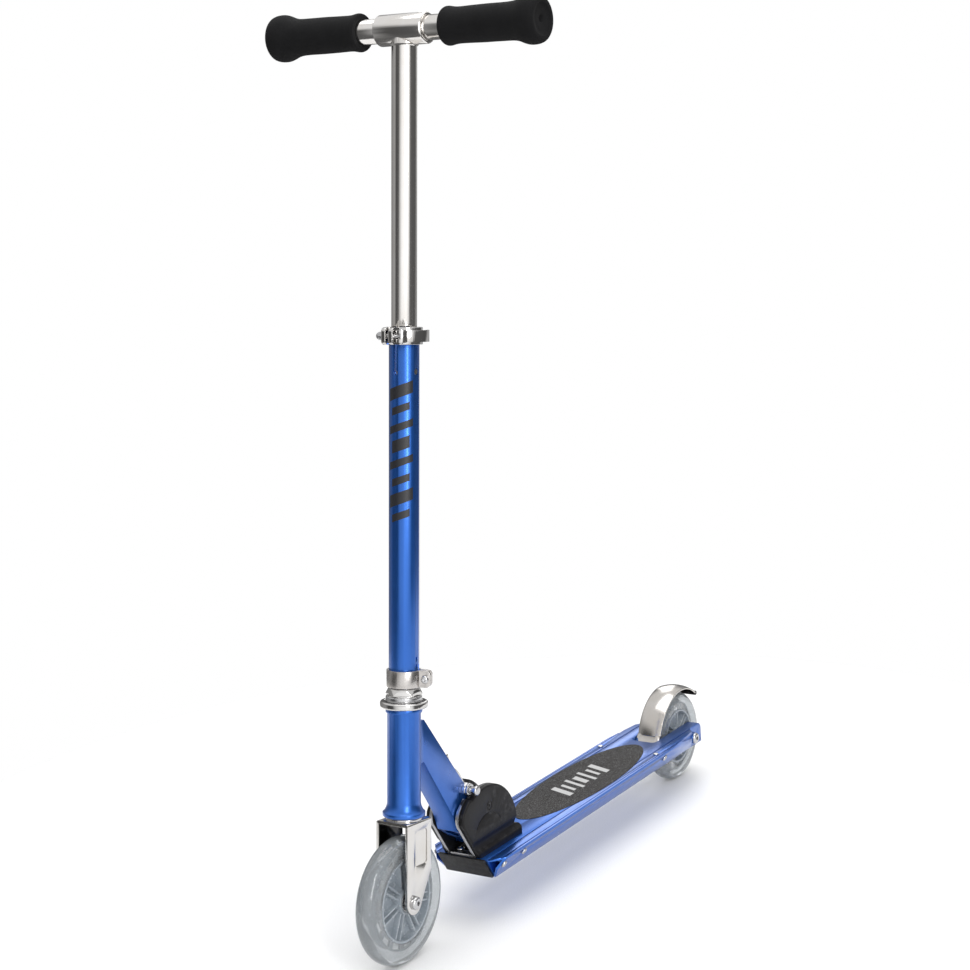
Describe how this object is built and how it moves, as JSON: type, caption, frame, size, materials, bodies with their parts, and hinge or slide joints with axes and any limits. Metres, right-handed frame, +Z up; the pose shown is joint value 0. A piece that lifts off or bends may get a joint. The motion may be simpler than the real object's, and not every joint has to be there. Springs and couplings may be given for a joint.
{
  "type": "kick scooter",
  "caption": "Folding two-wheeled kick scooter with a flat deck, a telescoping handlebar post, pull-out foam grips and a sprung rear fender brake.",
  "frame": {"origin": "on the ground, midway between the front of the front tyre and the back of the rear tyre, in the middle plane", "axes": "+X forward, +Y to the rider's left, +Z up"},
  "size_m": [0.7876, 0.356, 1.0581],
  "materials": {
    "blue_paint": "blue metallic paint",
    "black_coat": "satin powder coat",
    "black_plastic": "fine grain",
    "grip_tape": "coarse grit",
    "polished_steel": "polished",
    "bright_steel": "zinc plated",
    "foam": "closed-cell foam",
    "urethane": "translucent cast urethane",
    "core_plastic": "moulded"
  },
  "bodies": {
    "deck": {"deck": "blue_paint", "deck_end_cap": "black_plastic", "grip_tape": "grip_tape", "deck_screws": "bright_steel", "deck_rivets": "bright_steel", "fold_bracket": "black_coat", "fold_cover_left": "black_plastic", "fold_cover_right": "black_plastic", "fold_pivot_pin": "bright_steel", "bracket_bolts": "bright_steel", "brake_pivot_pin": "bright_steel", "brake_spring": "bright_steel", "rear_axle_bolt": "bright_steel", "rear_axle_nut": "bright_steel", "rear_axle_spacers": "bright_steel", "rear_bearing_inner_rings": "bright_steel"},
    "head_frame": {"neck": "blue_paint", "lock_rod": "bright_steel", "lock_rollers": "bright_steel", "headset_upper_cup": "polished_steel", "headset_lower_cup": "bright_steel", "headset_balls": "bright_steel"},
    "steering": {"fork": "polished_steel", "crown_race": "bright_steel", "headset_cone": "bright_steel", "headset_washer": "bright_steel", "headset_locknut": "polished_steel", "lower_column": "blue_paint", "column_clamp_band": "bright_steel", "column_clamp_bolt": "bright_steel", "height_clamp": "polished_steel", "height_clamp_axle": "bright_steel", "front_axle_bolt": "bright_steel", "front_axle_nut": "bright_steel", "front_axle_spacers": "bright_steel", "front_bearing_inner_rings": "bright_steel"},
    "front_wheel": {"front_wheel_core": "core_plastic", "front_tyre": "urethane", "front_bearing_outer_rings": "bright_steel", "front_bearing_balls": "bright_steel"},
    "rear_wheel": {"rear_wheel_core": "core_plastic", "rear_tyre": "urethane", "rear_bearing_outer_rings": "bright_steel", "rear_bearing_balls": "bright_steel"},
    "rear_brake": {"brake_fender": "polished_steel", "brake_tip": "black_plastic"},
    "upper_post": {"upper_column": "polished_steel", "bar_sleeve": "polished_steel"},
    "height_button": {"height_lock_clip": "bright_steel"},
    "left_handle": {"left_handle_tube": "polished_steel", "left_grip": "foam"},
    "right_handle": {"right_handle_tube": "polished_steel", "right_grip": "foam"},
    "height_lever": {"height_lever": "polished_steel"},
    "fold_lever": {"fold_lever": "polished_steel"}
  },
  "joints": [
    {"name": "column_fold", "type": "hinge", "parent": "deck", "child": "head_frame", "pos_m": [0.17125, 0, 0.095], "axis": [0, -1, 0], "range_deg": [0, 84]},
    {"name": "fold_lever_swing", "type": "hinge", "parent": "head_frame", "child": "fold_lever", "pos_m": [0.19553, 0, 0.16172], "axis": [0, -1, 0], "range_deg": [0, 85]},
    {"name": "steering_turn", "type": "hinge", "parent": "head_frame", "child": "steering", "pos_m": [0.30085, 0, 0.16067], "axis": [-0.1219, 0, 0.9925], "continuous": true},
    {"name": "front_wheel_spin", "type": "hinge", "parent": "steering", "child": "front_wheel", "pos_m": [0.32125, 0, 0.0725], "axis": [0, 1, 0], "continuous": true},
    {"name": "rear_wheel_spin", "type": "hinge", "parent": "deck", "child": "rear_wheel", "pos_m": [-0.33375, 0, 0.06], "axis": [0, 1, 0], "continuous": true},
    {"name": "brake_press", "type": "hinge", "parent": "deck", "child": "rear_brake", "pos_m": [-0.25975, 0, 0.066], "axis": [0, -1, 0], "range_deg": [0, 2], "stiffness_Nm_per_rad": 6, "springref_deg": -5.73},
    {"name": "height_slide", "type": "slide", "parent": "steering", "child": "upper_post", "axis": [-0.1219, 0, 0.9925], "range_m": [-0.27, 0]},
    {"name": "height_button_press", "type": "slide", "parent": "upper_post", "child": "height_button", "axis": [0, -1, 0], "range_m": [0, 0.0016], "stiffness_N_per_m": 900, "springref_m": -0.002},
    {"name": "height_lever_swing", "type": "hinge", "parent": "steering", "child": "height_lever", "pos_m": [0.26138, 0.0145, 0.70038], "axis": [0.1219, 0, -0.9925], "range_deg": [0, 90]},
    {"name": "left_handle_pull", "type": "slide", "parent": "upper_post", "child": "left_handle", "axis": [0, 1, 0], "range_m": [0, 0.05]},
    {"name": "right_handle_pull", "type": "slide", "parent": "upper_post", "child": "right_handle", "axis": [0, -1, 0], "range_m": [0, 0.05]}
  ]
}
